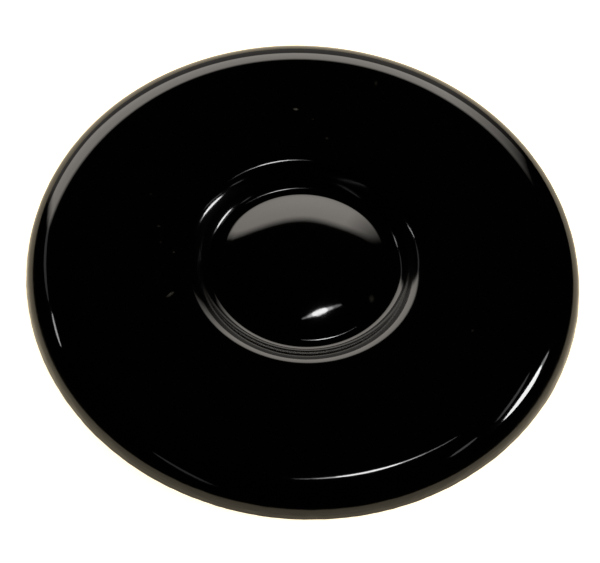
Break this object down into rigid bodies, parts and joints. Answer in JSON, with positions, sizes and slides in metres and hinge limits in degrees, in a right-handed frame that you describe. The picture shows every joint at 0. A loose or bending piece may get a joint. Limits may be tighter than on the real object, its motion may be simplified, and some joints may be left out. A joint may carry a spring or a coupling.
{
  "type": "gas burner cap",
  "caption": "Round gas burner cap pressed from sheet steel, enamelled gloss black, with a turned-down rounded edge and a domed hollow in the middle that centres it on the burner.",
  "frame": {"origin": "centre of the circle that the rim stands on", "axes": "+Z is the axis of the disc and points up, out of the domed face; +X and +Y are alike, because the cap is round"},
  "size_m": [0.075, 0.075, 0.0043],
  "materials": {
    "black_enamel": "gloss black vitreous enamel"
  },
  "bodies": {
    "root": {"burner_cap": "black_enamel"}
  },
  "joints": []
}
